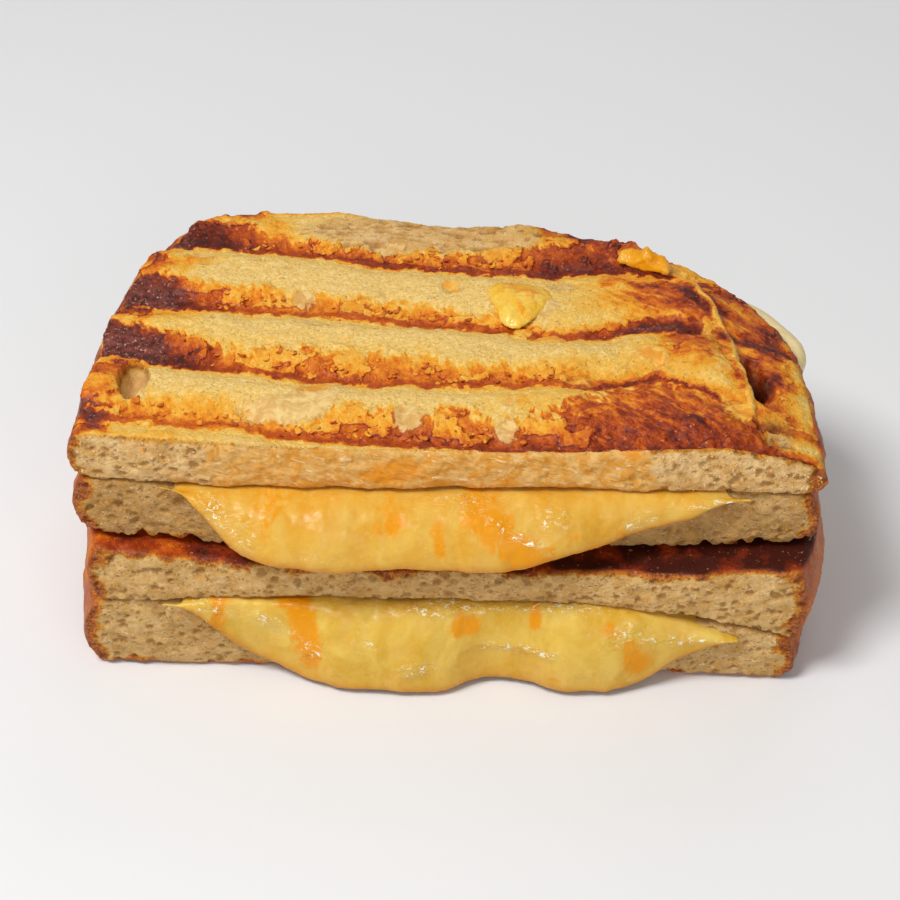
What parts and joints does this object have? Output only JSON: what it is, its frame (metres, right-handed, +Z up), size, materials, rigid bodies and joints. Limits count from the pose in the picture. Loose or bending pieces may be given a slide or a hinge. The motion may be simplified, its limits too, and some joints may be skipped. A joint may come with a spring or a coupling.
{
  "type": "grilled cheese sandwich",
  "caption": "Pressed toasted cheese sandwich cut in two with its halves stacked, grill-marked on top, with melted cheese run out at both cuts.",
  "frame": {"origin": "on the table under the middle of the whole sandwich's bounding box", "axes": "+X along the cut, to the right seen from in front of the cut faces; +Y from the cut faces to the crust at the back; +Z up"},
  "size_m": [0.1482, 0.0954, 0.0566],
  "materials": {
    "upper_lid": "toasted white bread with darker grill bars",
    "upper_base": "open white crumb with a browned crust",
    "lower_lid": "toasted white bread",
    "lower_base": "open white crumb with a browned crust",
    "upper_cheese": "glossy melted cheese, pale and orange marbled",
    "lower_cheese": "glossy melted cheese, pale and orange marbled",
    "cheese_spot": "glossy set cheese",
    "crisp_cheese": "fried cheese"
  },
  "bodies": {
    "root": {"upper_lid": "upper_lid", "upper_base": "upper_base", "lower_lid": "lower_lid", "lower_base": "lower_base", "upper_cheese": "upper_cheese", "lower_cheese": "lower_cheese", "cheese_spot": "cheese_spot", "crisp_cheese": "crisp_cheese"}
  },
  "joints": []
}
